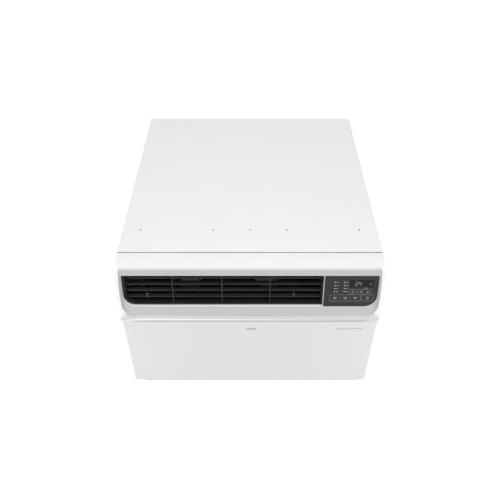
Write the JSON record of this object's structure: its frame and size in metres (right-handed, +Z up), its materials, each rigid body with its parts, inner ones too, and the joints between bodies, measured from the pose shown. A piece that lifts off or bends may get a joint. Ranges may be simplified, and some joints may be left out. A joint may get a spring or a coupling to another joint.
{
  "type": "window air conditioner",
  "caption": "Slide-out-chassis window air conditioner with a top-front outlet, tilting louvre blades, swinging vanes and a flat lower panel.",
  "frame": {"origin": "centre of the bounding box on the resting face", "axes": "+X across to the control panel's side, +Y from the room side to the outdoor side, +Z up"},
  "size_m": [0.66, 0.77, 0.43],
  "materials": {
    "black_paint": "satin",
    "blade_black": "satin",
    "board_green": "satin",
    "case_white": "satin",
    "copper": "satin",
    "display_smoke": "gloss",
    "fan_grey": "matte",
    "filter_mesh": "matte",
    "filter_plastic": "matte",
    "fin_aluminium": "satin",
    "foam_white": "matte",
    "galvanised": "satin",
    "grille_white": "satin",
    "key_dark": "satin",
    "light_lens": "gloss",
    "outlet_black": "matte",
    "panel_dark": "gloss",
    "rubber": "matte",
    "steel": "satin"
  },
  "bodies": {
    "cabinet": {"cabinet_sleeve": "case_white", "cabinet_screws": "steel"},
    "chassis": {"front_grille": "grille_white", "air_outlet": "outlet_black", "vane_motor": "steel", "control_panel": "panel_dark", "display_window": "display_smoke", "indicator_lights": "light_lens", "control_board": "board_green", "front_frame": "grille_white", "inlet_plate": "galvanised", "cord_gland": "rubber", "base_pan": "galvanised", "chassis_handle": "galvanised", "bulkhead": "galvanised", "condenser_shroud": "fan_grey", "blower_scroll": "foam_white", "fan_motor": "black_paint", "motor_bracket": "galvanised", "condenser_fins": "fin_aluminium", "condenser_tubes": "copper", "evaporator_fins": "fin_aluminium", "evaporator_tubes": "copper", "compressor": "black_paint", "compressor_grommets": "rubber", "compressor_nuts": "steel", "terminal_cover": "key_dark", "accumulator": "black_paint", "suction_pipe": "copper", "discharge_pipe": "copper", "control_box": "galvanised", "control_box_cover": "galvanised", "inverter_board": "board_green", "heat_sink": "fin_aluminium"},
    "rotor": {"fan_shaft": "steel", "blower_wheel": "fan_grey", "condenser_fan": "fan_grey"},
    "panel": {"inlet_panel": "grille_white"},
    "air_filter": {"air_filter_frame": "filter_plastic", "air_filter_mesh": "filter_mesh"},
    "blade_1": {"louvre_blade_1": "blade_black"},
    "blade_2": {"louvre_blade_2": "blade_black"},
    "blade_3": {"louvre_blade_3": "blade_black"},
    "blade_4": {"louvre_blade_4": "blade_black"},
    "blade_bar": {"blade_link": "blade_black"},
    "vane_body_1": {"vane_1": "blade_black"},
    "vane_body_2": {"vane_2": "blade_black"},
    "vane_body_3": {"vane_3": "blade_black"},
    "vane_body_4": {"vane_4": "blade_black"},
    "vane_body_5": {"vane_5": "blade_black"},
    "vane_body_6": {"vane_6": "blade_black"},
    "vane_body_7": {"vane_7": "blade_black"},
    "vane_bar": {"vane_link": "blade_black"},
    "key_timer_body": {"key_timer": "key_dark"},
    "key_mode_body": {"key_mode": "key_dark"},
    "key_speed_body": {"key_speed": "key_dark"},
    "key_power_body": {"key_power": "key_dark"},
    "key_saver_body": {"key_saver": "key_dark"},
    "key_down_body": {"key_down": "key_dark"},
    "key_up_body": {"key_up": "key_dark"}
  },
  "joints": [
    {"name": "chassis_slide", "type": "slide", "parent": "cabinet", "child": "chassis", "axis": [0, -1, 0], "range_m": [0, 0.45]},
    {"name": "fan_spin", "type": "hinge", "parent": "chassis", "child": "rotor", "pos_m": [-0.06, 0, 0.205], "axis": [0, 1, 0], "continuous": true},
    {"name": "panel_tilt", "type": "hinge", "parent": "chassis", "child": "panel", "pos_m": [0, -0.376, 0.012], "axis": [1, 0, 0], "range_deg": [0, 25]},
    {"name": "filter_slide", "type": "slide", "parent": "chassis", "child": "air_filter", "axis": [1, 0, 0], "range_m": [0, 0.5]},
    {"name": "blade_1_tilt", "type": "hinge", "parent": "chassis", "child": "blade_1", "pos_m": [0, -0.33941, 0.37756], "axis": [1, 0, 0], "range_deg": [-22, 22]},
    {"name": "blade_2_tilt", "type": "hinge", "parent": "chassis", "child": "blade_2", "pos_m": [0, -0.34315, 0.35965], "axis": [1, 0, 0], "range_deg": [-22, 22]},
    {"name": "blade_3_tilt", "type": "hinge", "parent": "chassis", "child": "blade_3", "pos_m": [0, -0.3469, 0.34174], "axis": [1, 0, 0], "range_deg": [-22, 22]},
    {"name": "blade_4_tilt", "type": "hinge", "parent": "chassis", "child": "blade_4", "pos_m": [0, -0.35065, 0.32382], "axis": [1, 0, 0], "range_deg": [-22, 22]},
    {"name": "blade_bar_pivot", "type": "hinge", "parent": "blade_1", "child": "blade_bar", "pos_m": [-0.302, -0.3257, 0.37469], "axis": [1, 0, 0], "range_deg": [-22, 22]},
    {"name": "vane_1_swing", "type": "hinge", "parent": "chassis", "child": "vane_body_1", "pos_m": [-0.252, -0.31239, 0.348], "axis": [0, 0.2049, 0.9788], "range_deg": [-30, 30]},
    {"name": "vane_2_swing", "type": "hinge", "parent": "chassis", "child": "vane_body_2", "pos_m": [-0.1912, -0.31239, 0.348], "axis": [0, 0.2049, 0.9788], "range_deg": [-30, 30]},
    {"name": "vane_3_swing", "type": "hinge", "parent": "chassis", "child": "vane_body_3", "pos_m": [-0.1304, -0.31239, 0.348], "axis": [0, 0.2049, 0.9788], "range_deg": [-30, 30]},
    {"name": "vane_4_swing", "type": "hinge", "parent": "chassis", "child": "vane_body_4", "pos_m": [-0.0696, -0.31239, 0.348], "axis": [0, 0.2049, 0.9788], "range_deg": [-30, 30]},
    {"name": "vane_5_swing", "type": "hinge", "parent": "chassis", "child": "vane_body_5", "pos_m": [-0.0088, -0.31239, 0.348], "axis": [0, 0.2049, 0.9788], "range_deg": [-30, 30]},
    {"name": "vane_6_swing", "type": "hinge", "parent": "chassis", "child": "vane_body_6", "pos_m": [0.052, -0.31239, 0.348], "axis": [0, 0.2049, 0.9788], "range_deg": [-30, 30]},
    {"name": "vane_7_swing", "type": "hinge", "parent": "chassis", "child": "vane_body_7", "pos_m": [0.1128, -0.31239, 0.348], "axis": [0, 0.2049, 0.9788], "range_deg": [-30, 30]},
    {"name": "vane_bar_pivot", "type": "hinge", "parent": "vane_body_7", "child": "vane_bar", "pos_m": [0.1128, -0.31043, 0.30366], "axis": [0, 0.2049, 0.9788], "range_deg": [-30, 30]},
    {"name": "key_timer_press", "type": "slide", "parent": "chassis", "child": "key_timer_body", "axis": [0, 0.9788, -0.2049], "range_m": [0, 0.0008], "stiffness_N_per_m": 600, "springref_m": -0.0003},
    {"name": "key_mode_press", "type": "slide", "parent": "chassis", "child": "key_mode_body", "axis": [0, 0.9788, -0.2049], "range_m": [0, 0.0008], "stiffness_N_per_m": 600, "springref_m": -0.0003},
    {"name": "key_speed_press", "type": "slide", "parent": "chassis", "child": "key_speed_body", "axis": [0, 0.9788, -0.2049], "range_m": [0, 0.0008], "stiffness_N_per_m": 600, "springref_m": -0.0003},
    {"name": "key_power_press", "type": "slide", "parent": "chassis", "child": "key_power_body", "axis": [0, 0.9788, -0.2049], "range_m": [0, 0.0008], "stiffness_N_per_m": 600, "springref_m": -0.0003},
    {"name": "key_saver_press", "type": "slide", "parent": "chassis", "child": "key_saver_body", "axis": [0, 0.9788, -0.2049], "range_m": [0, 0.0008], "stiffness_N_per_m": 600, "springref_m": -0.0003},
    {"name": "key_down_press", "type": "slide", "parent": "chassis", "child": "key_down_body", "axis": [0, 0.9788, -0.2049], "range_m": [0, 0.0008], "stiffness_N_per_m": 600, "springref_m": -0.0003},
    {"name": "key_up_press", "type": "slide", "parent": "chassis", "child": "key_up_body", "axis": [0, 0.9788, -0.2049], "range_m": [0, 0.0008], "stiffness_N_per_m": 600, "springref_m": -0.0003}
  ],
  "couplings": [
    {"joint": "blade_2_tilt", "follows": "blade_1_tilt", "ratio": 1},
    {"joint": "blade_3_tilt", "follows": "blade_1_tilt", "ratio": 1},
    {"joint": "blade_4_tilt", "follows": "blade_1_tilt", "ratio": 1},
    {"joint": "blade_bar_pivot", "follows": "blade_1_tilt", "ratio": -1},
    {"joint": "vane_1_swing", "follows": "vane_7_swing", "ratio": 1},
    {"joint": "vane_2_swing", "follows": "vane_7_swing", "ratio": 1},
    {"joint": "vane_3_swing", "follows": "vane_7_swing", "ratio": 1},
    {"joint": "vane_4_swing", "follows": "vane_7_swing", "ratio": 1},
    {"joint": "vane_5_swing", "follows": "vane_7_swing", "ratio": 1},
    {"joint": "vane_6_swing", "follows": "vane_7_swing", "ratio": 1},
    {"joint": "vane_bar_pivot", "follows": "vane_7_swing", "ratio": -1}
  ]
}
